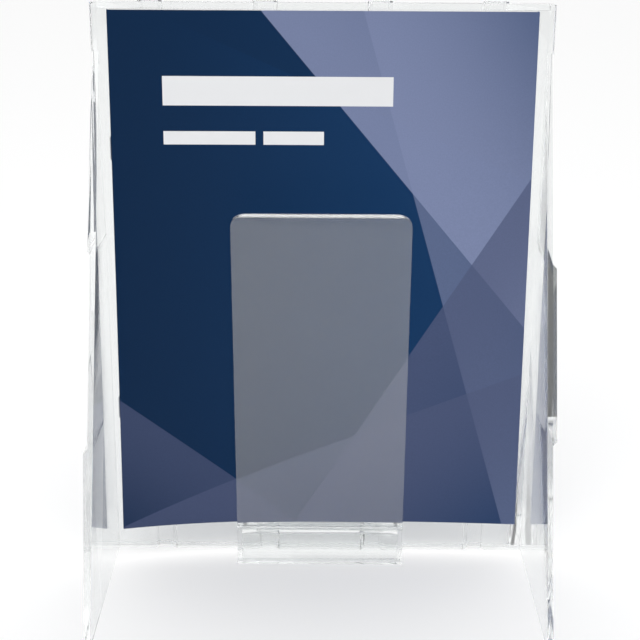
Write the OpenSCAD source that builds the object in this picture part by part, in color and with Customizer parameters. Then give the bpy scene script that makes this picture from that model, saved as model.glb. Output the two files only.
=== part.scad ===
// Clear moulded magazine rack for one letter-size magazine, with interlocking sides.
// Millimetres, +Z up, +X to the reader's right, +Y away from the reader.
// Origin: middle of the footprint, on the surface that the rack stands on.

/* [Rack] */
// Clear width between the two wings
pocket_w = 224.8; // [222:0.2:236]
// Height of the back panel, without the crests of its swages
panel_h = 301.4; // [298:0.2:320]
// How far the wings would reach in front of the back panel with sharp foot corners
wing_reach = 110; // [90:1:140]
// Height at which the front edge of a wing starts to slope forward
shoulder_h = 277; // [240:1:285]
// Depth of the upright rim above the shoulder
rim_d = 3; // [2:0.5:5]
// Width of the upright rim above the shoulder
rim_w = 3; // [2.8:0.1:4]
// How far the upright rim steps outward from the wing below it
rim_step = 0.8; // [0:0.1:1.5]
// Radius of the foot corner at the front of each wing
foot_r = 3; // [1:0.5:6]
// Radius of the two top corners of the back panel
corner_r = 1.6; // [0.5:0.1:3]

/* [Walls] */
// Thickness of the back panel
panel_t = 2.6; // [2:0.1:3.5]
// Thickness of each wing
wing_t = 2.8; // [2:0.1:3.5]
// Thickness of the front tongue and of the skirt under it
tongue_t = 2.6; // [2:0.1:3.5]
// Thickness of the pocket floor and of the side gussets under it
floor_t = 2.4; // [2:0.1:3.5]

/* [Stiffening swages of the back panel] */
// Number of swages
swage_n = 4; // [2:1:5]
// Distance between neighbouring swages
swage_pitch = 57.7; // [45:0.1:60]
// Width of a swage's flat bottom
swage_flat = 8; // [5:0.5:12]
// Width of each sloping flank
swage_flank = 2.2; // [1:0.1:4]
// Depth of a swage, pressed towards the back
swage_d = 1.8; // [1:0.1:3]
// How far each swage stands above the panel's top edge
swage_rise = 1; // [0.4:0.1:2]

/* [Beads on the rear edges of the back panel] */
// Height of the bead along the top edge
top_bead_h = 3.3; // [2:0.1:6]
// Height of the bead along the bottom edge
bottom_bead_h = 2.2; // [1.5:0.1:5]
// How far both beads stand out of the rear face
bead_d = 1.4; // [0.6:0.1:2.5]

/* [Interlock pads on the outside of the wings] */
// How far a pad stands out of the wing at its thick end
pad_proud = 2; // [1:0.1:3]
// How far the upper left pad stands out at its thick end
upper_pad_proud = 1.4; // [0.8:0.1:3]
// How far a tapered pad stands out at its thin end
pad_thin = 0.4; // [0.2:0.1:0.8]
// Depth of a pad, back from the front edge of the wing
pad_d = 40; // [20:1:60]
// Length of the sloping lead-in at each end of a pad
pad_lead = 2; // [1:0.5:4]
// Height of the joint between the lower and the middle pad
lower_joint_h = 93; // [80:1:110]
// Height of the joint between the middle and the upper pad
upper_joint_h = 180; // [165:1:195]
// Gap between pads of neighbouring racks at each joint
joint_gap = 1.5; // [0.5:0.5:3]

/* [Front pocket] */
// Width of the tongue, the floor and the base
tongue_w = 90.5; // [70:0.5:120]
// Height of the pocket floor's top face
floor_h = 18; // [14:0.5:30]
// Distance from the back panel to the front face of the base
base_d = 14.5; // [12:0.5:20]
// Height of the tip of the tongue
tongue_h = 203; // [150:1:230]
// Forward lean of the tongue, in degrees
tongue_lean = 7.4; // [4:0.1:10]
// Inner radius of the flared lip
lip_r = 10; // [6:0.5:14]
// Further forward bend of the flared lip, in degrees
lip_bend = 42; // [30:1:50]
// Corner radius of the lip, seen from the front
lip_corner_r = 7.5; // [3:0.5:10]
// Radius of the fillet where the tongue meets the floor
root_r = 4; // [2:0.5:5]
// How far the foot flange of the base reaches forward
flange_d = 4; // [2:0.5:6]
// Thickness of the foot flange
flange_t = 1.4; // [1:0.1:2]

/* [Magazine] */
// Width of the closed magazine
sheet_w = 215.9; // [200:0.1:216]
// Height of the magazine
sheet_h = 279.4; // [270:0.1:280]
// Thickness of the cover
cover_t = 0.3; // [0.2:0.05:0.4]
// Thickness of the inner pages together
pages_t = 1.4; // [1:0.1:2]
// How far the lower left corner curls forward
left_curl = 12; // [0:0.5:12]
// How far the lower right corner curls forward
right_curl = 3; // [0:0.5:12]
// Clearance round the magazine, to the back panel and to the floor
sheet_gap = 0.4; // [0.3:0.1:1]
// Length of a staple
staple_l = 12; // [10:0.5:14]
// Radius of the staple wire
staple_r = 0.3; // [0.25:0.05:0.4]

/* [Hidden] */

$fn = 64;
eps = 1;                                    // overshoot of cutting shapes
wing_x = pocket_w / 2;                      // inner face of a wing
wing_out = wing_x + wing_t;                 // outer face of a wing
rim_x = wing_out + rim_step - rim_w;        // inner face of the upright rim
panel_back = swage_d + panel_t + bead_d;    // depth behind the panel's front face
slope = atan2(shoulder_h, wing_reach - rim_d);
foot_setback = foot_r / tan(slope / 2);     // from the sharp foot corner to the centre of its arc
rack_d = wing_reach - foot_setback + foot_r + panel_back;
panel_y = rack_d / 2 - panel_back;          // front face of the back panel
tongue_y = -base_d;                         // front face of the tongue at the floor
lip_out_r = lip_r + tongue_t;
lip_end = tongue_lean + lip_bend;
tongue_top = tongue_h - lip_out_r * (sin(lip_end) - sin(tongue_lean));
sheet_x = sheet_w / 2;
sheet_z = floor_h + sheet_gap;
sheet_t = 2 * cover_t + pages_t;
sheet_rows = 8;                             // rings from the bottom to the top
sheet_cols = 12;                            // steps across the width

clear = [0.80, 0.88, 0.92, 0.45];
clear_edge = [0.62, 0.74, 0.80, 0.55];

// Moves a shape from the front face of the back panel to its place in the rack.
module at_panel() { translate([0, panel_y, 0]) children(); }

// Extrudes an outline drawn as [Y, Z] along X, centred on x.
module along_x(x, w) { translate([x - w / 2, 0, 0]) rotate([90, 0, 90]) linear_extrude(w) children(); }

// Points of an arc round c, from angle a0 to a1.
function arc(c, r, a0, a1, n = 12) =
    [for (i = [0:n]) let (a = a0 + (a1 - a0) * i / n) [c[0] + r * cos(a), c[1] + r * sin(a)]];

function backwards(list) = [for (i = [len(list) - 1:-1:0]) list[i]];

// ---- Back panel ----

function swage_x(i) = (i - (swage_n - 1) / 2) * swage_pitch;

// One swage seen from above, as a stepped line at depth y.
function swage_line(i, y) = let (x = swage_x(i), f = swage_flat / 2, s = swage_flat / 2 + swage_flank)
    [[x - s, y], [x - f, y + swage_d], [x + f, y + swage_d], [x + s, y]];

// The whole panel line seen from above, from left to right, at depth y.
function panel_line(w, y) =
    concat([[-w / 2, y]], [for (i = [0:swage_n - 1]) each swage_line(i, y)], [[w / 2, y]]);

// The band between two such lines.
module panel_band(w, y0, y1) { polygon(concat(panel_line(w, y0), backwards(panel_line(w, y1)))); }

module back_panel() {
    rim_out = wing_out + rim_step;
    color(clear) at_panel() {
        linear_extrude(shoulder_h) panel_band(2 * wing_out, 0, panel_t);
        intersection() {
            translate([0, 0, shoulder_h])
                linear_extrude(panel_h - shoulder_h) panel_band(2 * rim_out, 0, panel_t);
            translate([0, panel_back + eps, 0]) rotate([90, 0, 0])
                linear_extrude(panel_back + 2 * eps) top_corners(rim_out);
        }
        for (i = [0:swage_n - 1]) translate([0, 0, panel_h - eps]) linear_extrude(swage_rise + eps)
            polygon(concat(swage_line(i, 0), backwards(swage_line(i, panel_t))));
    }
}

// Front outline of the panel above its shoulder, with round top corners.
module top_corners(half_w) {
    translate([-half_w, shoulder_h - eps]) square([2 * half_w, panel_h - shoulder_h + eps - corner_r]);
    translate([corner_r - half_w, shoulder_h])
        square([2 * (half_w - corner_r), panel_h - shoulder_h]);
    for (side = [-1, 1]) translate([side * (half_w - corner_r), panel_h - corner_r]) circle(corner_r);
}

// A stiffening bead on the rear face of the panel, which follows its swages.
module rear_bead(z, h, w) {
    color(clear_edge) at_panel() translate([0, 0, z]) linear_extrude(h)
        panel_band(w, panel_t, panel_t + bead_d);
}

module top_bead() { rear_bead(panel_h - top_bead_h, top_bead_h, 2 * (wing_out - corner_r)); }
module bottom_bead() { rear_bead(0, bottom_bead_h, 2 * wing_out); }

module side_rim(side) {
    color(clear_edge) at_panel() translate([side * (rim_x + rim_w / 2), -rim_d / 2, shoulder_h])
        translate([-rim_w / 2, -rim_d / 2, 0]) cube([rim_w, rim_d, panel_h - shoulder_h]);
}

module left_side_rim() { side_rim(-1); }
module right_side_rim() { side_rim(1); }

// ---- Wings and their interlock pads ----

// Side outline of a wing as [Y, Z], with Y from the front face of the panel.
module wing_outline() {
    polygon(concat(
        [[0, 0]],
        arc([foot_setback - wing_reach, foot_r], foot_r, 270, 90 + slope),
        [[-rim_d, shoulder_h], [0, shoulder_h]]
    ));
}

// The strip of a wing that lies within pad_d of its front edge.
module pad_strip() {
    intersection() {
        wing_outline();
        polygon([[-wing_reach, 0], [pad_d - wing_reach, 0],
                 [pad_d - rim_d, shoulder_h], [-rim_d, shoulder_h]]);
    }
}

module wing(side) { color(clear) at_panel() along_x(side * (wing_x + wing_t / 2), wing_t) wing_outline(); }

module left_wing() { wing(-1); }
module right_wing() { wing(1); }

// A pad between heights z0 and z1 that stands p0 out of the wing at its foot and p1 at its top.
module interlock_pad(side, z0, z1, p0, p1) {
    color(clear_edge) at_panel() intersection() {
        along_x(side * (wing_out + pad_proud), 2 * pad_proud) pad_strip();
        translate([side * wing_out, eps, 0]) rotate([90, 0, 0]) linear_extrude(wing_reach + 2 * eps)
            polygon([[0, z0], [side * p0, z0 + pad_lead], [side * p1, z1 - pad_lead], [0, z1]]);
    }
}

module left_upper_pad() {
    interlock_pad(-1, upper_joint_h + joint_gap, shoulder_h - 6, upper_pad_proud, pad_thin);
}
module left_lower_pad() { interlock_pad(-1, 0, lower_joint_h - joint_gap, pad_thin, pad_proud); }
module right_middle_pad() {
    interlock_pad(1, lower_joint_h + joint_gap, upper_joint_h - joint_gap, pad_proud, pad_proud);
}

// ---- Front pocket ----

module pocket_floor() {
    inner = tongue_y + tongue_t;
    color(clear) at_panel() along_x(0, tongue_w) {
        translate([inner, floor_h - floor_t]) square([-inner, floor_t]);
        difference() {
            polygon([[inner, floor_h - eps], [inner + root_r, floor_h - eps], [inner + root_r, floor_h],
                     [tongue_rear(floor_h + root_r), floor_h + root_r],
                     [tongue_rear(floor_h), floor_h], [inner, floor_h]]);
            translate([inner + root_r, floor_h + root_r]) circle(root_r);
        }
    }
}

module base_skirt() {
    color(clear) at_panel() along_x(0, tongue_w) polygon([
        [tongue_y, flange_t], [tongue_y - flange_d, flange_t], [tongue_y - flange_d, 0],
        [tongue_y + tongue_t, 0], [tongue_y + tongue_t, floor_h], [tongue_y, floor_h]]);
}

module gusset(side) {
    depth = base_d - tongue_t;
    color(clear_edge) at_panel() translate([side * (tongue_w - floor_t) / 2, -depth / 2, 0])
        translate([-floor_t / 2, -depth / 2, 0]) cube([floor_t, depth, floor_h - floor_t]);
}

module left_gusset() { gusset(-1); }
module right_gusset() { gusset(1); }

// Front and rear faces of the tongue at height z, as Y from the panel.
function tongue_face(z) = tongue_y - (z - floor_h) * tan(tongue_lean);
function tongue_rear(z) = tongue_face(z) + tongue_t / cos(tongue_lean);

module front_tongue() {
    rear_top = tongue_top + tongue_t * sin(tongue_lean);
    color(clear) at_panel() along_x(0, tongue_w) polygon([
        [tongue_face(floor_h), floor_h], [tongue_rear(floor_h), floor_h],
        [tongue_rear(rear_top), rear_top], [tongue_face(tongue_top), tongue_top]]);
}

// The end of the tongue, bent forward, with round corners.
module tongue_lip() {
    centre = [tongue_face(tongue_top) - lip_r * cos(tongue_lean), tongue_top - lip_r * sin(tongue_lean)];
    far = 2 * lip_out_r;
    color(clear_edge) at_panel() intersection() {
        along_x(0, tongue_w) translate(centre) intersection() {
            difference() {
                circle(lip_out_r);
                circle(lip_r);
            }
            polygon([[0, 0], far * [cos(tongue_lean), sin(tongue_lean)],
                     far * [cos(lip_end), sin(lip_end)]]);
        }
        rotate([90, 0, 0]) linear_extrude(wing_reach) lip_corners();
    }
}

module lip_corners() {
    translate([-tongue_w / 2, 0]) square([tongue_w, tongue_h - lip_corner_r]);
    translate([lip_corner_r - tongue_w / 2, 0]) square([tongue_w - 2 * lip_corner_r, tongue_h]);
    for (side = [-1, 1]) translate([side * (tongue_w / 2 - lip_corner_r), tongue_h - lip_corner_r])
        circle(lip_corner_r);
}

// ---- Magazine ----

// Forward curl of the magazine at x, with w from 0 at its top to 1 at its foot.
function curl(x, w) = (x < 0 ? left_curl : right_curl) * pow(w, 1.6) * pow(abs(x) / sheet_x, 2.2);

// A line across the magazine from x0 to x1, lying y in front of its back.
function sheet_line(y, x0, x1, w) = [for (i = [0:sheet_cols])
    let (x = x0 + (x1 - x0) * i / sheet_cols) [x, -sheet_gap - y - curl(x, w)]];

// Ring of the folded cover: round the outside, then back along the inside. The fold is at the left.
function cover_ring(w) = concat(
    sheet_line(sheet_t, sheet_x, -sheet_x, w), sheet_line(0, -sheet_x, sheet_x, w),
    sheet_line(cover_t, sheet_x, cover_t - sheet_x, w),
    sheet_line(sheet_t - cover_t, cover_t - sheet_x, sheet_x, w));

// Ring of the inner pages, which fill the cover and are trimmed flush with its free edge.
function pages_ring(w) = concat(
    sheet_line(sheet_t - cover_t, sheet_x, cover_t - sheet_x, w),
    sheet_line(cover_t, cover_t - sheet_x, sheet_x, w));

// Closed solid through rings of m points, one per row, from the foot to the top. Point i of a ring
// lies across the sheet from point m - 1 - i, so each end is closed by a strip between the two.
// Every wall panel is split along the diagonal that falls to the right, so that faces which
// touch are split alike.
module stack_rings(rings) {
    m = len(rings[0]);
    last = sheet_rows * m;
    points = [for (k = [0:sheet_rows], p = rings[k]) [p[0], p[1], sheet_z + sheet_h * k / sheet_rows]];
    walls = [for (k = [0:sheet_rows - 1], i = [0:m - 1])
        let (j = (i + 1) % m, a = k * m, b = a + m, rightward = rings[k][j][0] > rings[k][i][0])
        each rightward ? [[a + i, a + j, b + i], [a + j, b + j, b + i]]
                       : [[a + i, a + j, b + j], [a + i, b + j, b + i]]];
    ends = [for (i = [0:m / 2 - 2]) let (far = m - 1 - i)
        each [[far, far - 1, i + 1], [far, i + 1, i],
              [last + i, last + i + 1, last + far - 1], [last + i, last + far - 1, last + far]]];
    at_panel() polyhedron(points, concat(walls, ends), convexity = 4);
}

module magazine_cover() {
    color([0.12, 0.25, 0.42]) stack_rings([for (k = [0:sheet_rows]) cover_ring(1 - k / sheet_rows)]);
}

module inner_pages() {
    color([0.93, 0.93, 0.91]) stack_rings([for (k = [0:sheet_rows]) pages_ring(1 - k / sheet_rows)]);
}

// Two staples on the outside of the fold.
module staples() {
    color("silver") at_panel() for (w = [0.25, 0.75]) {
        half = staple_l / 2 / sheet_h;
        y0 = -sheet_gap - sheet_t / 2 - curl(-sheet_x, w + half);
        y1 = -sheet_gap - sheet_t / 2 - curl(-sheet_x, w - half);
        translate([-sheet_x - staple_r, y0, sheet_z + sheet_h * (1 - w - half)])
            rotate([-atan2(y1 - y0, staple_l), 0, 0]) cylinder(h = staple_l, r = staple_r);
    }
}

back_panel();
top_bead();
bottom_bead();
left_side_rim();
right_side_rim();
left_wing();
right_wing();
left_upper_pad();
left_lower_pad();
right_middle_pad();
pocket_floor();
base_skirt();
left_gusset();
right_gusset();
front_tongue();
tongue_lip();
magazine_cover();
inner_pages();
staples();
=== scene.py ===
"""Clear moulded magazine rack: the looks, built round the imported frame."""

import math

import bmesh
import bpy
from bpy.props import FloatProperty, FloatVectorProperty, IntProperty, PointerProperty
from mathutils import Euler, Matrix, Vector


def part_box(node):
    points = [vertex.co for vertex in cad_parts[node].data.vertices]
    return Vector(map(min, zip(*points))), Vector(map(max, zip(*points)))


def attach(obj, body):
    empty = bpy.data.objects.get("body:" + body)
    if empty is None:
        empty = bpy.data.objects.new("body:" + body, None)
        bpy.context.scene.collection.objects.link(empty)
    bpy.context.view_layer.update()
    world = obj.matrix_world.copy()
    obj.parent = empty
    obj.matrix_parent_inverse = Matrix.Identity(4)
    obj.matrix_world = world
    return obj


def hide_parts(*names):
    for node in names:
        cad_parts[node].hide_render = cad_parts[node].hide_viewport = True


bl_info = {
    "name": "Clear Magazine Rack",
    "version": (1, 0, 0),
    "blender": (4, 5, 0),
    "location": "View3D > Sidebar > Rack",
    "description": "Builds a clear moulded magazine rack and the magazine that it holds",
    "category": "Add Mesh",
}

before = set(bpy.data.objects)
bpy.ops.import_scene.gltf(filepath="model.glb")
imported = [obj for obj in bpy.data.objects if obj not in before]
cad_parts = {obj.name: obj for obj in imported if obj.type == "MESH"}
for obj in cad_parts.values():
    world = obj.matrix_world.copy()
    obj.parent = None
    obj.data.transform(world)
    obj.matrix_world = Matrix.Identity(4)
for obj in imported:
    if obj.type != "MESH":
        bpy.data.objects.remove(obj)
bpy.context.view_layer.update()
MM = 0.001

# The box that the closed magazine fills, curl included, in metres.
COVER_LO, COVER_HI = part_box("magazine_cover")
SHEET_HALF_WIDTH = (COVER_HI.x - COVER_LO.x) / 2
SHEET_HEIGHT = COVER_HI.z - COVER_LO.z
SHEET_DEPTH = COVER_HI.y - COVER_LO.y
# The wings end at the panel's front face.
PANEL_FACE_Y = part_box("left_wing")[1].y

# The sheet curls by these powers of the way down it and of the way out to its side edge.
CURL_DOWN = 1.6
CURL_ACROSS = 2.2

RACK_BODY = "rack"
MAGAZINE_BODY = "magazine"
MOULDED_NODES = (
    "back_panel", "top_bead", "bottom_bead", "left_side_rim", "right_side_rim", "left_wing", "right_wing",
    "left_upper_pad", "left_lower_pad", "right_middle_pad", "pocket_floor", "base_skirt", "left_gusset",
    "right_gusset", "front_tongue", "tongue_lip",
)


# ---- Small helpers ----


def linear(code):
    """An sRGB hex colour such as "1b3a63" as linear red, green and blue."""
    parts = [int(code[i : i + 2], 16) / 255 for i in (0, 2, 4)]
    return tuple(c / 12.92 if c <= 0.04045 else ((c + 0.055) / 1.055) ** 2.4 for c in parts)


def add_node(tree, kind, inputs=None, **settings):
    """Adds a node with its settings and links. inputs maps a socket's name or number to a value, to
    a socket to link from, or to a node, which is linked from its first output."""
    node = tree.nodes.new(kind)
    for key, value in settings.items():
        setattr(node, key, value)
    for key, value in (inputs or {}).items():
        if isinstance(value, bpy.types.Node):
            value = value.outputs[0]
        if isinstance(value, bpy.types.NodeSocket):
            tree.links.new(value, node.inputs[key])
        else:
            node.inputs[key].default_value = value
    return node


def new_material(name):
    """A material with an empty node tree: (material, tree)."""
    material = bpy.data.materials.new(name)
    material.use_nodes = True
    material.node_tree.nodes.clear()
    return material, material.node_tree


def set_material(piece, *materials):
    """Gives piece these materials. Clearing the old ones also sets every face back to slot 0."""
    piece.data.materials.clear()
    for material in materials:
        piece.data.materials.append(material)


def mesh_object(name, mesh):
    """A new object of mesh in the scene, at the origin."""
    piece = bpy.data.objects.new(name, mesh)
    bpy.context.scene.collection.objects.link(piece)
    return piece


def baked(source, name):
    """A plain mesh object of what source's modifiers give. source itself is removed."""
    bpy.context.view_layer.update()
    graph = bpy.context.evaluated_depsgraph_get()
    mesh = bpy.data.meshes.new_from_object(source.evaluated_get(graph))
    mesh.name = name
    old = source.data
    bpy.data.objects.remove(source)
    if old.users == 0:
        bpy.data.meshes.remove(old)
    return mesh_object(name, mesh)


# ---- Materials ----


def clear_polystyrene(settings):
    """Injection-moulded general-purpose polystyrene. It is water-clear and bends light more than
    acrylic does, so its edges draw dark lines. The polished tool leaves the faces glossy, with a
    faint waviness where the melt flowed, and handling leaves fine rub marks."""
    material, tree = new_material("clear_polystyrene")
    place = add_node(tree, "ShaderNodeTexCoord").outputs["Object"]
    # flow waves are about 60 mm long, rub marks about 2 mm across
    flow = add_node(tree, "ShaderNodeTexNoise", {
        "Vector": place, "Scale": 1 / (60 * MM), "Detail": 1.0, "Roughness": 0.4})
    rub = add_node(tree, "ShaderNodeTexNoise", {
        "Vector": place, "Scale": 1 / (2 * MM), "Detail": 4.0, "Roughness": 0.7})
    rough = add_node(tree, "ShaderNodeMapRange", {
        "Value": rub, "From Min": 0.55, "From Max": 0.85, "To Min": 0.0, "To Max": 0.02})
    wave = add_node(tree, "ShaderNodeBump", {"Height": flow, "Strength": 0.1, "Distance": 0.2 * MM})
    shader = add_node(tree, "ShaderNodeBsdfPrincipled", {
        "Base Color": (*settings.plastic_tint, 1.0), "Roughness": rough, "Normal": wave,
        "IOR": settings.plastic_ior, "Transmission Weight": settings.plastic_clear})
    add_node(tree, "ShaderNodeOutputMaterial", {"Surface": shader})
    return material


def crease_fade(tree, place, angle, offset, reach):
    """A folded facet on the print: 1 along one side of a straight crease, fading to 0 over reach
    metres, and 0 on the other side. angle is the crease's own, offset its distance from the middle."""
    line_width = 0.35 * MM
    turn = add_node(tree, "ShaderNodeMapping", {"Vector": place, "Rotation": (0, angle, 0)})
    split = add_node(tree, "ShaderNodeSeparateXYZ", {0: turn})
    side = add_node(tree, "ShaderNodeMapRange", {
        "Value": split.outputs["Z"], "From Min": offset, "From Max": offset + line_width})
    fade = add_node(tree, "ShaderNodeMapRange", {
        "Value": split.outputs["Z"], "From Min": offset, "From Max": offset + reach,
        "To Min": 1.0, "To Max": 0.0}, interpolation_type="SMOOTHSTEP")
    return add_node(tree, "ShaderNodeMath", {0: side, 1: fade}, operation="MULTIPLY")


def bar_mask(tree, split, left, right, low, high):
    """1 inside a plain rectangle on the print, with edges in metres from the cover's middle."""
    soft = 0.12 * MM
    mask = 1.0
    for axis, edge, inward in (
        ("X", left, soft), ("X", right, -soft), ("Z", low, soft), ("Z", high, -soft),
    ):
        step = add_node(tree, "ShaderNodeMapRange", {
            "Value": split.outputs[axis], "From Min": edge, "From Max": edge + inward})
        mask = add_node(tree, "ShaderNodeMath", {0: mask, 1: step}, operation="MULTIPLY")
    return mask


def printed_front(settings):
    """Offset print on coated paper: a deep blue ground that lightens to grey-blue at the upper
    right, crossed by straight creases, with plain bars where a title would be. The coating
    gives it a satin shine."""
    material, tree = new_material("coated_paper_printed_front")
    middle = (COVER_LO + COVER_HI) / 2
    place = add_node(tree, "ShaderNodeMapping", {
        "Vector": add_node(tree, "ShaderNodeTexCoord").outputs["Object"],
        "Location": (-middle.x, 0, -middle.z)})
    split = add_node(tree, "ShaderNodeSeparateXYZ", {0: place})
    across = add_node(tree, "ShaderNodeMapRange", {
        "Value": split.outputs["X"], "From Min": -110 * MM, "From Max": 70 * MM},
        interpolation_type="SMOOTHSTEP")
    navy, mid, pale, slate, white = ((*tone, 1.0) for tone in (
        settings.ground_left, settings.ground_right, settings.pale_facet, settings.slate_facet,
        settings.bar_colour))
    ground = add_node(tree, "ShaderNodeMix", {"Factor": across, 6: navy, 7: mid}, data_type="RGBA")
    colour = ground.outputs[2]
    # each facet: the crease's angle in degrees, its offset and the facet's reach in mm, colour, strength
    for angle, offset, reach, tone, strength in (
        (-24, 92, 110, navy, 0.45),
        (-50, 66, 190, pale, 0.80),
        (-74, 58, 120, pale, 0.45),
        (-122, 62, 130, slate, 0.75),
        (-158, 88, 120, slate, 0.60),
        (142, 118, 90, slate, 0.55),
    ):
        fade = crease_fade(tree, place, math.radians(angle), offset * MM, reach * MM)
        factor = add_node(tree, "ShaderNodeMath", {0: fade, 1: strength}, operation="MULTIPLY")
        facet = add_node(tree, "ShaderNodeMix", {"Factor": factor, 6: colour, 7: tone}, data_type="RGBA")
        colour = facet.outputs[2]
    # the screen of the print shows as a faint grain, drawn at 0.7 mm so that it can be seen
    grain = add_node(tree, "ShaderNodeTexNoise", {"Vector": place, "Scale": 1 / (0.7 * MM), "Detail": 2.0})
    tint = add_node(tree, "ShaderNodeMapRange", {"Value": grain, "To Min": 0.9, "To Max": 1.1})
    shade = add_node(tree, "ShaderNodeCombineColor", {0: tint, 1: tint, 2: tint})
    screened = add_node(tree, "ShaderNodeMix", {"Factor": 1.0, 6: colour, 7: shade}, data_type="RGBA",
                        blend_type="MULTIPLY")
    colour = screened.outputs[2]
    # each bar: its left, right, low and high edges in mm from the cover's middle
    for bar in ((-81, 36, 92, 107), (-81, -34, 72, 79), (-30, 1, 72, 79)):
        mask = bar_mask(tree, split, *(edge * MM for edge in bar))
        barred = add_node(tree, "ShaderNodeMix", {"Factor": mask, 6: colour, 7: white}, data_type="RGBA")
        colour = barred.outputs[2]
    shader = add_node(tree, "ShaderNodeBsdfPrincipled", {
        "Base Color": colour, "Roughness": 0.45, "Specular IOR Level": 0.12})
    add_node(tree, "ShaderNodeOutputMaterial", {"Surface": shader})
    return material


def plain_paper(name, colour, roughness):
    """Paper stock with no print on it: matte where it is uncoated, smoother where it is coated, and
    slightly cloudy from its fibres. The clouding is about 8 mm across and the fibre relief, drawn
    coarser than real fibres so that it shows, about 0.4 mm."""
    material, tree = new_material(name)
    place = add_node(tree, "ShaderNodeTexCoord").outputs["Object"]
    cloud = add_node(tree, "ShaderNodeTexNoise", {"Vector": place, "Scale": 1 / (8 * MM), "Detail": 3.0})
    fibre = add_node(tree, "ShaderNodeTexNoise", {"Vector": place, "Scale": 1 / (0.4 * MM), "Detail": 2.0})
    darker = tuple(0.93 * part for part in colour)
    tone = add_node(tree, "ShaderNodeMix", {"Factor": cloud, 6: (*darker, 1.0), 7: (*colour, 1.0)},
                    data_type="RGBA")
    relief = add_node(tree, "ShaderNodeBump", {"Height": fibre, "Strength": 0.2, "Distance": 0.05 * MM})
    shader = add_node(tree, "ShaderNodeBsdfPrincipled", {
        "Base Color": tone.outputs[2], "Roughness": roughness, "Normal": relief})
    add_node(tree, "ShaderNodeOutputMaterial", {"Surface": shader})
    return material


def galvanised_wire():
    """Zinc-coated steel stitching wire: bright, with drawing lines along it about 0.1 mm apart."""
    material, tree = new_material("galvanised_wire")
    stretch = add_node(tree, "ShaderNodeMapping", {
        "Vector": add_node(tree, "ShaderNodeTexCoord").outputs["Object"], "Scale": (1, 1, 0.05)})
    lines = add_node(tree, "ShaderNodeTexNoise", {"Vector": stretch, "Scale": 1 / (0.1 * MM)})
    rough = add_node(tree, "ShaderNodeMapRange", {"Value": lines, "To Min": 0.22, "To Max": 0.42})
    shader = add_node(tree, "ShaderNodeBsdfPrincipled", {
        "Base Color": (*linear("c9cbce"), 1.0), "Metallic": 1.0, "Roughness": rough})
    add_node(tree, "ShaderNodeOutputMaterial", {"Surface": shader})
    return material


def matte_floor(settings):
    """Painted studio floor: pale and matte, with hardly any shine."""
    material, tree = new_material("pale_matte_floor")
    shader = add_node(tree, "ShaderNodeBsdfPrincipled", {
        "Base Color": (*settings.floor_colour, 1.0), "Roughness": 0.9, "Specular IOR Level": 0.1})
    add_node(tree, "ShaderNodeOutputMaterial", {"Surface": shader})
    return material


# ---- Clear moulding ----


def merged_copy(node):
    """A copy of a CAD node as a closed mesh of large flat faces."""
    mesh = bpy.data.meshes.new(node + "_part")
    work = bmesh.new()
    work.from_mesh(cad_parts[node].data)
    bmesh.ops.remove_doubles(work, verts=work.verts, dist=0.001 * MM)
    bmesh.ops.dissolve_limit(work, angle_limit=math.radians(0.5), verts=work.verts, edges=work.edges)
    work.to_mesh(mesh)
    work.free()
    return mesh_object(node + "_part", mesh)


def one_moulding(name, nodes):
    """The nodes as one moulding without seams. Its curved parts shade smoothly and its edges stay
    crisp, as a sharp polished mould leaves them."""
    parts = [merged_copy(node) for node in nodes]
    for part in parts[1:]:
        union = parts[0].modifiers.new("Join " + part.name, "BOOLEAN")
        union.operation = "UNION"
        union.solver = "MANIFOLD"
        union.object = part
    body = baked(parts[0], name)
    for part in parts[1:]:
        bpy.data.objects.remove(part)
    work = bmesh.new()
    work.from_mesh(body.data)
    bmesh.ops.remove_doubles(work, verts=work.verts, dist=0.02 * MM)
    bmesh.ops.dissolve_limit(work, angle_limit=math.radians(0.2), verts=work.verts, edges=work.edges)
    bmesh.ops.triangulate(work, faces=work.faces)
    work.to_mesh(body.data)
    work.free()
    body.data.shade_smooth()
    body.data.set_sharp_from_angle(angle=math.radians(25))
    weigh = body.modifiers.new("Flat faces", "WEIGHTED_NORMAL")
    weigh.keep_sharp = True
    weigh.weight = 100
    return body


# ---- Magazine ----


def curl(x, down, left, right):
    """How far the sheet curls forward at x from its middle, with down 0 at its top and 1 at its foot."""
    return (left if x < 0 else right) * down**CURL_DOWN * (abs(x) / SHEET_HALF_WIDTH) ** CURL_ACROSS


def folded_profile(half, thickness, paper, columns, fold_steps):
    """Outline of the folded cover seen from above, as (outer, inner) points [x, forward]. Both run
    from the free edge of the front leaf, round the fold at the left, to that of the back leaf."""
    outer_r = thickness / 2
    fold_x = outer_r - half
    outer, inner = [], []
    for line, radius in ((outer, outer_r), (inner, outer_r - paper)):
        for i in range(columns + 1):
            line.append((half + (fold_x - half) * i / columns, outer_r + radius))
        for i in range(1, fold_steps):
            turn = math.pi * i / fold_steps
            line.append((fold_x - radius * math.sin(turn), outer_r + radius * math.cos(turn)))
        for i in range(columns + 1):
            line.append((fold_x + (half - fold_x) * i / columns, outer_r - radius))
    return outer, inner


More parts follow.
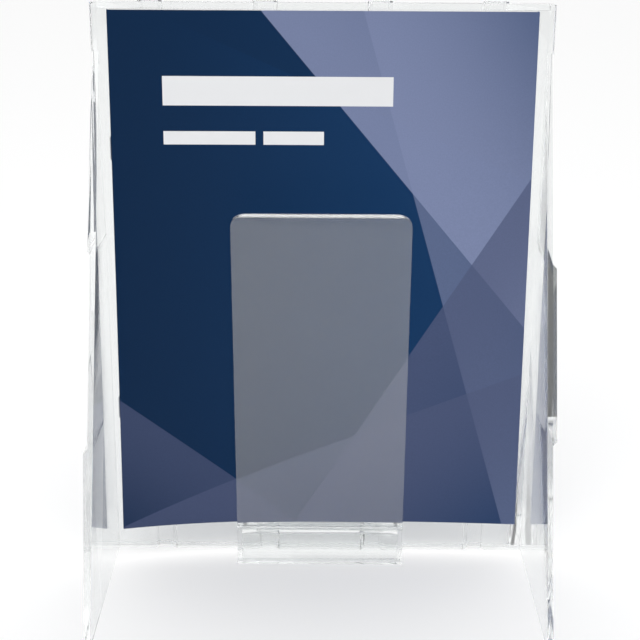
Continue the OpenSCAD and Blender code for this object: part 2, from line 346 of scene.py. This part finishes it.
def build_cover(mag):
    """The folded cover as one closed mesh. Face slots: 0 printed front, 1 bare paper, 2 plain back.
    Known fault: set_material resets these slots, so the whole cover shows the printed front."""
    left_curl = SHEET_DEPTH - mag.thickness
    rows, columns, fold_steps = 56, 48, 8
    outer, inner = folded_profile(SHEET_HALF_WIDTH, mag.thickness, mag.cover_paper, columns, fold_steps)
    count = len(outer)
    verts, faces, slots = [], [], []
    for row in range(rows + 1):
        z = COVER_LO.z + SHEET_HEIGHT * row / rows
        for x, forward in outer + inner:
            forward += curl(x, 1 - row / rows, left_curl, mag.right_curl)
            verts.append((x, COVER_HI.y - forward, z))
    ring = 2 * count
    for row in range(rows):
        a, b = row * ring, (row + 1) * ring
        for i in range(count - 1):
            faces.append((a + i, a + i + 1, b + i + 1, b + i))
            slots.append(0 if i < columns + fold_steps // 2 else 2)
            j = count + i
            faces.append((a + j, b + j, b + j + 1, a + j + 1))
            slots.append(1)
        for i, j in ((0, count), (2 * count - 1, count - 1)):
            faces.append((a + i, b + i, b + j, a + j))
            slots.append(1)
    top = rows * ring
    for i in range(count - 1):
        faces.append((i, count + i, count + i + 1, i + 1))
        faces.append((top + i, top + i + 1, top + count + i + 1, top + count + i))
        slots += [1, 1]
    mesh = bpy.data.meshes.new("magazine_cover_sheet")
    mesh.from_pydata(verts, [], faces)
    mesh.validate()
    work = bmesh.new()
    work.from_mesh(mesh)
    for face, slot in zip(work.faces, slots):
        face.material_index = slot
        face.smooth = True
    bmesh.ops.recalc_face_normals(work, faces=work.faces)
    work.to_mesh(mesh)
    work.free()
    mesh.set_sharp_from_angle(angle=math.radians(40))
    return mesh_object("magazine_cover_sheet", mesh)


def geometry_tree(name, inputs):
    """A geometry node tree with named inputs: (tree, the sockets that give them)."""
    tree = bpy.data.node_groups.new(name, "GeometryNodeTree")
    for label, default, kind in inputs:
        tree.interface.new_socket(name=label, in_out="INPUT", socket_type=kind).default_value = default
    tree.interface.new_socket(name="Geometry", in_out="OUTPUT", socket_type="NodeSocketGeometry")
    return tree, add_node(tree, "NodeGroupInput").outputs


def run_tree(tree, values, name):
    """Runs a geometry node tree on an empty mesh and returns the result as a plain mesh object."""
    holder = mesh_object(name + "_draft", bpy.data.meshes.new(name + "_draft"))
    modifier = holder.modifiers.new("Geometry", "NODES")
    modifier.node_group = tree
    for item in tree.interface.items_tree:
        if item.item_type == "SOCKET" and item.in_out == "INPUT" and item.name in values:
            modifier[item.identifier] = values[item.name]
    return baked(holder, name)


def curl_and_finish(tree, instances, given):
    """Ends a tree: makes the instances real, moves their points forward by the sheet's curl, which
    grows downwards and towards the side edges, and gives them their material."""
    solid = add_node(tree, "GeometryNodeRealizeInstances", {"Geometry": instances})
    place = add_node(tree, "ShaderNodeSeparateXYZ", {0: add_node(tree, "GeometryNodeInputPosition")})
    across = place.outputs["X"]
    for operation, value in (("ABSOLUTE", 0.0), ("DIVIDE", given["Half Width"]), ("POWER", CURL_ACROSS)):
        across = add_node(tree, "ShaderNodeMath", {0: across, 1: value}, operation=operation)
    down = add_node(tree, "ShaderNodeMath", {0: given["Top"], 1: place.outputs["Z"]}, operation="SUBTRACT")
    for operation, value in (("DIVIDE", given["Height"]), ("MAXIMUM", 0.0), ("POWER", CURL_DOWN)):
        down = add_node(tree, "ShaderNodeMath", {0: down, 1: value}, operation=operation)
    on_left = add_node(tree, "ShaderNodeMath", {0: place.outputs["X"], 1: 0.0}, operation="LESS_THAN")
    gain = add_node(tree, "ShaderNodeMapRange", {
        "Value": on_left, "To Min": given["Right Curl"], "To Max": given["Left Curl"]})
    forward = down
    for value in (across, gain, -1.0):
        forward = add_node(tree, "ShaderNodeMath", {0: forward, 1: value}, operation="MULTIPLY")
    shift = add_node(tree, "ShaderNodeCombineXYZ", {"Y": forward})
    curled = add_node(tree, "GeometryNodeSetPosition", {"Geometry": solid, "Offset": shift})
    last = add_node(tree, "GeometryNodeSetMaterial", {"Geometry": curled, "Material": given["Finish"]})
    add_node(tree, "NodeGroupOutput", {"Geometry": last})


SHEET_INPUTS = [
    ("Half Width", 108 * MM, "NodeSocketFloat"), ("Height", 279 * MM, "NodeSocketFloat"),
    ("Top", 298 * MM, "NodeSocketFloat"), ("Back", 50 * MM, "NodeSocketFloat"),
    ("Left Curl", 12 * MM, "NodeSocketFloat"), ("Right Curl", 3 * MM, "NodeSocketFloat"),
    ("Finish", None, "NodeSocketMaterial"),
]


def leaves_tree():
    """Inner leaves: one thin sheet, repeated through the thickness of the block, each a little out
    of line with the next, and all curled together."""
    tree, given = geometry_tree("Curled Leaves", SHEET_INPUTS + [
        ("Leaf Count", 12, "NodeSocketInt"), ("Leaf Pitch", 0.1 * MM, "NodeSocketFloat"),
        ("Leaf Thickness", 0.08 * MM, "NodeSocketFloat"), ("Trim Play", 0.1 * MM, "NodeSocketFloat"),
        ("Seed", 4, "NodeSocketInt")])
    width = add_node(tree, "ShaderNodeMath", {0: given["Half Width"], 1: 2.0}, operation="MULTIPLY")
    size = add_node(tree, "ShaderNodeCombineXYZ", {
        "X": width, "Y": given["Leaf Thickness"], "Z": given["Height"]})
    leaf = add_node(tree, "GeometryNodeMeshCube", {
        "Size": size, "Vertices X": 37, "Vertices Y": 2, "Vertices Z": 41})
    half_height = add_node(tree, "ShaderNodeMath", {0: given["Height"], 1: 0.5}, operation="MULTIPLY")
    middle_z = add_node(tree, "ShaderNodeMath", {0: given["Top"], 1: half_height}, operation="SUBTRACT")
    first = add_node(tree, "ShaderNodeCombineXYZ", {"Y": given["Back"], "Z": middle_z})
    forward = add_node(tree, "ShaderNodeMath", {0: given["Leaf Pitch"], 1: -1.0}, operation="MULTIPLY")
    step = add_node(tree, "ShaderNodeCombineXYZ", {"Y": forward})
    places = add_node(tree, "GeometryNodeMeshLine", {
        "Count": given["Leaf Count"], "Start Location": first, "Offset": step})
    most_left = add_node(tree, "ShaderNodeMath", {0: given["Trim Play"], 1: -1.0}, operation="MULTIPLY")
    low = add_node(tree, "ShaderNodeCombineXYZ", {"X": most_left})
    play = add_node(tree, "FunctionNodeRandomValue", {0: low, 1: (0, 0, 0), "Seed": given["Seed"]},
                    data_type="FLOAT_VECTOR")
    loose = add_node(tree, "GeometryNodeSetPosition", {"Geometry": places, "Offset": play})
    spread = add_node(tree, "GeometryNodeInstanceOnPoints", {"Points": loose, "Instance": leaf})
    curl_and_finish(tree, spread, given)
    return tree


def staples_tree():
    """Wire staples along the fold: a round wire bent into a crown and two legs, repeated."""
    tree, given = geometry_tree("Fold Staples", SHEET_INPUTS + [
        ("Count", 2, "NodeSocketInt"), ("First Height", 90 * MM, "NodeSocketFloat"),
        ("Pitch", 140 * MM, "NodeSocketFloat"), ("Crown", 12 * MM, "NodeSocketFloat"),
        ("Leg", 1.2 * MM, "NodeSocketFloat"), ("Wire Radius", 0.3 * MM, "NodeSocketFloat")])
    # the wire's four points, numbered 0 to 3: a leg's end, two corners and the other leg's end
    points, middle = 4, 1.5
    line = add_node(tree, "GeometryNodeMeshLine", {"Count": points})
    index = add_node(tree, "GeometryNodeInputIndex")
    upper = add_node(tree, "ShaderNodeMath", {0: index, 1: middle}, operation="GREATER_THAN")
    crown_foot = add_node(tree, "ShaderNodeMath", {0: given["Crown"], 1: -0.5}, operation="MULTIPLY")
    crown_top = add_node(tree, "ShaderNodeMath", {0: given["Crown"], 1: 0.5}, operation="MULTIPLY")
    height = add_node(tree, "ShaderNodeMapRange", {
        "Value": upper, "To Min": crown_foot, "To Max": crown_top})
    inward = index
    for operation, value in (("SUBTRACT", middle), ("ABSOLUTE", 0.0), ("GREATER_THAN", 1.0),
                             ("MULTIPLY", given["Leg"])):
        inward = add_node(tree, "ShaderNodeMath", {0: inward, 1: value}, operation=operation)
    corner = add_node(tree, "ShaderNodeCombineXYZ", {"X": inward, "Z": height})
    bent = add_node(tree, "GeometryNodeSetPosition", {"Geometry": line, "Position": corner})
    path = add_node(tree, "GeometryNodeMeshToCurve", {"Mesh": bent})
    round_off = add_node(tree, "GeometryNodeFilletCurve", {"Curve": path, "Radius": 0.5 * MM, "Count": 5},
                         mode="POLY")
    wire = add_node(tree, "GeometryNodeCurvePrimitiveCircle", {
        "Resolution": 12, "Radius": given["Wire Radius"]})
    staple = add_node(tree, "GeometryNodeCurveToMesh", {
        "Curve": round_off, "Profile Curve": wire, "Fill Caps": True})
    side = given["Half Width"]
    for operation, value in (("ADD", given["Wire Radius"]), ("MULTIPLY", -1.0)):
        side = add_node(tree, "ShaderNodeMath", {0: side, 1: value}, operation=operation)
    first = add_node(tree, "ShaderNodeCombineXYZ", {
        "X": side, "Y": given["Back"], "Z": given["First Height"]})
    step = add_node(tree, "ShaderNodeCombineXYZ", {"Z": given["Pitch"]})
    places = add_node(tree, "GeometryNodeMeshLine", {
        "Count": given["Count"], "Start Location": first, "Offset": step})
    spread = add_node(tree, "GeometryNodeInstanceOnPoints", {"Points": places, "Instance": staple})
    curl_and_finish(tree, spread, given)
    return tree


def sheet_values(mag, material):
    """The inputs that the leaves and the staples share."""
    return {
        "Half Width": SHEET_HALF_WIDTH, "Height": SHEET_HEIGHT, "Top": COVER_HI.z,
        "Left Curl": SHEET_DEPTH - mag.thickness, "Right Curl": mag.right_curl, "Finish": material,
    }


# ---- Settings ----


class RackSettings(bpy.types.PropertyGroup):
    """Finish of the clear plastic"""

    # linear values, finer than the steps of a hex code, because light passes through many faces
    plastic_tint: FloatVectorProperty(
        name="Plastic Tint", description="Colour that light takes at each face", subtype="COLOR",
        size=3, min=0, max=1, default=(0.905, 0.92, 0.918))
    plastic_ior: FloatProperty(
        name="Plastic IOR", description="How strongly the plastic bends light", min=1.3, max=1.8,
        default=1.59)
    plastic_clear: FloatProperty(
        name="Clarity", description="Share of light that the surface lets through", subtype="FACTOR",
        min=0.5, max=1.0, default=0.96)


class MagazineSettings(bpy.types.PropertyGroup):
    """Sizes of the magazine, and the colours of its cover"""

    thickness: FloatProperty(
        name="Thickness", description="Thickness of the closed magazine", unit="LENGTH", default=2.0 * MM)
    cover_paper: FloatProperty(
        name="Cover Paper", description="Thickness of the cover's paper", unit="LENGTH", default=0.24 * MM)
    leaf_count: IntProperty(
        name="Leaves", description="Number of inner leaves", min=4, max=24, default=12)
    trim_play: FloatProperty(
        name="Trim Play", description="How far a leaf may stand back from the trimmed edge",
        unit="LENGTH", default=0.3 * MM)
    right_curl: FloatProperty(
        name="Right Curl", description="How far the lower right corner curls forward", unit="LENGTH",
        default=3.0 * MM)
    staple_length: FloatProperty(
        name="Staple Length", description="Length of a staple's crown", unit="LENGTH", default=12.0 * MM)
    staple_leg: FloatProperty(
        name="Staple Leg", description="How deep a staple's leg reaches", unit="LENGTH", default=1.1 * MM)
    wire_radius: FloatProperty(
        name="Wire Radius", description="Radius of the staple wire", unit="LENGTH", default=0.3 * MM)
    ground_left: FloatVectorProperty(
        name="Ground Left", description="Ground of the print at its left edge", subtype="COLOR",
        size=3, min=0, max=1, default=linear("02274a"))
    ground_right: FloatVectorProperty(
        name="Ground Right", description="Ground of the print towards its right edge", subtype="COLOR",
        size=3, min=0, max=1, default=linear("0a3763"))
    pale_facet: FloatVectorProperty(
        name="Pale Facets", description="Facets at the upper right", subtype="COLOR",
        size=3, min=0, max=1, default=linear("8994b8"))
    slate_facet: FloatVectorProperty(
        name="Slate Facets", description="Facets along the foot and the right edge", subtype="COLOR",
        size=3, min=0, max=1, default=linear("535d7f"))
    bar_colour: FloatVectorProperty(
        name="Bars", description="Plain bars where a title would be", subtype="COLOR",
        size=3, min=0, max=1, default=linear("f4f5f7"))
    back_colour: FloatVectorProperty(
        name="Back Cover", description="Plain back of the cover", subtype="COLOR",
        size=3, min=0, max=1, default=linear("0b2f57"))


class StageSettings(bpy.types.PropertyGroup):
    """Camera, floor and light"""

    lens: FloatProperty(
        name="Lens", description="Focal length of the camera", unit="CAMERA", default=82.74)
    camera_back: FloatProperty(
        name="Camera Distance", description="From the panel's face to the camera", unit="LENGTH",
        default=745.1 * MM)
    camera_height: FloatProperty(
        name="Camera Height", description="Height of the camera above the floor", unit="LENGTH",
        default=380.3 * MM)
    camera_side: FloatProperty(
        name="Camera Offset", description="How far the camera stands to the right", unit="LENGTH",
        default=1.7 * MM)
    camera_turn: FloatVectorProperty(
        name="Camera Turn", description="Rotation of the camera", subtype="EULER", size=3,
        default=tuple(math.radians(angle) for angle in (71.79, -0.29, 0.27)))
    floor_colour: FloatVectorProperty(
        name="Floor Colour", description="Colour of the floor", subtype="COLOR",
        size=3, min=0, max=1, default=linear("fafafa"))
    key_power: FloatProperty(
        name="Key Light", description="Power of the large overhead light", unit="POWER", default=1.0)
    fill_power: FloatProperty(
        name="Fill Light", description="Power of the light above the camera", unit="POWER", default=8.0)
    light_turns: IntProperty(
        name="Light Turns", description="How many times light may turn on its way", min=4, max=64,
        default=24)
    sky_top: FloatProperty(
        name="Overhead", description="Brightness of the surroundings overhead", default=1.3)
    sky_behind: FloatProperty(
        name="Behind", description="Brightness behind the rack", default=1.05)
    sky_near: FloatProperty(
        name="Near Side", description="Brightness on the camera's side", default=0.12)


# ---- Operators ----


class RACK_OT_moulding(bpy.types.Operator):
    """The clear rack itself: panel, wings, pads, pocket floor and front tongue in one moulding"""

    bl_idname = "rack.moulding"
    bl_label = "Clear Moulding"

    def execute(self, context):
        piece = one_moulding("clear_moulding", MOULDED_NODES)
        set_material(piece, clear_polystyrene(context.scene.rack_settings))
        # clear plastic takes so little light that it casts almost no shadow
        piece.visible_shadow = False
        piece.visible_diffuse = False
        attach(piece, RACK_BODY)
        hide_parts(*MOULDED_NODES)
        return {"FINISHED"}


class RACK_OT_cover(bpy.types.Operator):
    """The folded, printed cover of the magazine"""

    bl_idname = "rack.cover"
    bl_label = "Magazine Cover"

    def execute(self, context):
        mag = context.scene.magazine_settings
        piece = build_cover(mag)
        set_material(piece, printed_front(mag),
                     plain_paper("uncoated_cover_inside", linear("eeeeec"), 0.7),
                     plain_paper("coated_paper_plain_back", mag.back_colour, 0.45))
        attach(piece, MAGAZINE_BODY)
        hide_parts("magazine_cover")
        return {"FINISHED"}


class RACK_OT_leaves(bpy.types.Operator):
    """The inner leaves of the magazine"""

    bl_idname = "rack.leaves"
    bl_label = "Inner Leaves"

    def execute(self, context):
        mag = context.scene.magazine_settings
        block = mag.thickness - 2 * mag.cover_paper
        pitch = block / (mag.leaf_count + 1)
        # the leaves stop short of the fold's bend, and by as much at the free edge
        fold_room = mag.thickness / 2
        values = sheet_values(mag, plain_paper("uncoated_leaf_paper", linear("f1f0ea"), 0.8))
        values.update({
            "Half Width": values["Half Width"] - fold_room, "Back": COVER_HI.y - mag.cover_paper - pitch,
            "Leaf Count": mag.leaf_count, "Leaf Pitch": pitch, "Leaf Thickness": 0.75 * pitch,
            "Trim Play": mag.trim_play, "Seed": 4})
        piece = run_tree(leaves_tree(), values, "inner_leaves")
        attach(piece, MAGAZINE_BODY)
        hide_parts("inner_pages")
        return {"FINISHED"}


class RACK_OT_staples(bpy.types.Operator):
    """The staples in the magazine's fold"""

    bl_idname = "rack.staples"
    bl_label = "Staples"

    def execute(self, context):
        mag = context.scene.magazine_settings
        low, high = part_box("staples")
        pitch = (high.z - low.z) - mag.staple_length
        values = sheet_values(mag, galvanised_wire())
        values.update({
            "Back": COVER_HI.y - mag.thickness / 2, "Count": 2, "Pitch": pitch,
            "First Height": low.z + mag.staple_length / 2, "Crown": mag.staple_length,
            "Leg": mag.staple_leg, "Wire Radius": mag.wire_radius})
        piece = run_tree(staples_tree(), values, "fold_staples")
        piece.data.shade_smooth()
        piece.data.set_sharp_from_angle(angle=math.radians(50))
        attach(piece, MAGAZINE_BODY)
        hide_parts("staples")
        return {"FINISHED"}


class RACK_OT_stage(bpy.types.Operator):
    """Pale floor, soft studio light and the camera"""

    bl_idname = "rack.stage"
    bl_label = "Stage"

    def execute(self, context):
        scene = context.scene
        settings = scene.stage_settings
        self.floor(settings)
        self.surroundings(scene, settings)
        self.lights(scene, settings)
        camera = bpy.data.objects.new("camera", bpy.data.cameras.new("camera"))
        camera.data.lens = settings.lens
        camera.data.clip_start = 10 * MM
        camera.location = (
            settings.camera_side, PANEL_FACE_Y - settings.camera_back, settings.camera_height)
        camera.rotation_euler = Euler(settings.camera_turn)
        scene.collection.objects.link(camera)
        scene.camera = camera
        scene.view_settings.view_transform = "Standard"
        # light runs along inside the clear plates and comes out at their edges after many turns
        scene.cycles.max_bounces = settings.light_turns
        scene.cycles.glossy_bounces = settings.light_turns
        scene.cycles.transmission_bounces = settings.light_turns
        return {"FINISHED"}

    def floor(self, settings):
        """A wide floor, set a hair below the feet so that the two never share a plane."""
        half = 6.0
        z = -0.05 * MM
        mesh = bpy.data.meshes.new("floor")
        mesh.from_pydata([(-half, -half, z), (half, -half, z), (half, half, z), (-half, half, z)], [],
                         [(0, 1, 2, 3)])
        floor = mesh_object("floor", mesh)
        set_material(floor, matte_floor(settings))

    def surroundings(self, scene, settings):
        """A room that is white behind the rack and overhead, and dim on the near side and at the
        sides, so that clear edges draw dark lines on white."""
        world = bpy.data.worlds.new("studio")
        world.use_nodes = True
        tree = world.node_tree
        tree.nodes.clear()
        way = add_node(tree, "ShaderNodeTexCoord").outputs["Generated"]
        split = add_node(tree, "ShaderNodeSeparateXYZ", {0: way})
        # both brighten over a band from about 20 to 49 degrees: up from level, and back from the sides
        fade = {"From Min": 0.35, "From Max": 0.75}
        behind = add_node(tree, "ShaderNodeMapRange", {
            "Value": split.outputs["Y"], **fade, "To Min": settings.sky_near,
            "To Max": settings.sky_behind}, interpolation_type="SMOOTHSTEP")
        above = add_node(tree, "ShaderNodeMapRange", {
            "Value": split.outputs["Z"], **fade, "To Min": 0.0,
            "To Max": settings.sky_top}, interpolation_type="SMOOTHSTEP")
        level = add_node(tree, "ShaderNodeMath", {0: behind, 1: above}, operation="MAXIMUM")
        glow = add_node(tree, "ShaderNodeBackground", {"Color": (1, 1, 1, 1), "Strength": level})
        add_node(tree, "ShaderNodeOutputWorld", {"Surface": glow})
        scene.world = world

    def lights(self, scene, settings):
        """Large soft boxes: one overhead, and one above the camera that lifts the rack's own shade."""
        for name, place, aim, size, power in (
            ("overhead_box", (0.1, -0.3, 1.8), (0, -0.05, 0.1), 1.8, settings.key_power),
            ("front_box", (-0.5, -1.5, 1.5), (0, -0.05, 0.0), 1.2, settings.fill_power),
        ):
            data = bpy.data.lights.new(name, "AREA")
            data.size = size
            data.energy = power
            light = bpy.data.objects.new(name, data)
            light.location = place
            light.rotation_euler = (Vector(aim) - Vector(place)).to_track_quat("-Z", "Y").to_euler()
            scene.collection.objects.link(light)


class RACK_PT_panel(bpy.types.Panel):
    """Builds the rack piece by piece"""

    bl_idname = "RACK_PT_panel"
    bl_label = "Magazine Rack"
    bl_space_type = "VIEW_3D"
    bl_region_type = "UI"
    bl_category = "Rack"

    def draw(self, context):
        for operator in OPERATORS:
            self.layout.operator(operator.bl_idname)


OPERATORS = (RACK_OT_stage, RACK_OT_moulding, RACK_OT_cover, RACK_OT_leaves, RACK_OT_staples)
GROUPS = (("rack_settings", RackSettings), ("magazine_settings", MagazineSettings),
          ("stage_settings", StageSettings))


def register():
    for name, group in GROUPS:
        bpy.utils.register_class(group)
        setattr(bpy.types.Scene, name, PointerProperty(type=group))
    for operator in OPERATORS:
        bpy.utils.register_class(operator)
    bpy.utils.register_class(RACK_PT_panel)


def unregister():
    bpy.utils.unregister_class(RACK_PT_panel)
    for operator in reversed(OPERATORS):
        bpy.utils.unregister_class(operator)
    for name, group in reversed(GROUPS):
        delattr(bpy.types.Scene, name)
        bpy.utils.unregister_class(group)


def main():
    register()
    bpy.ops.rack.stage()
    bpy.ops.rack.moulding()
    bpy.ops.rack.cover()
    bpy.ops.rack.leaves()
    bpy.ops.rack.staples()


if __name__ == "__main__":
    main()
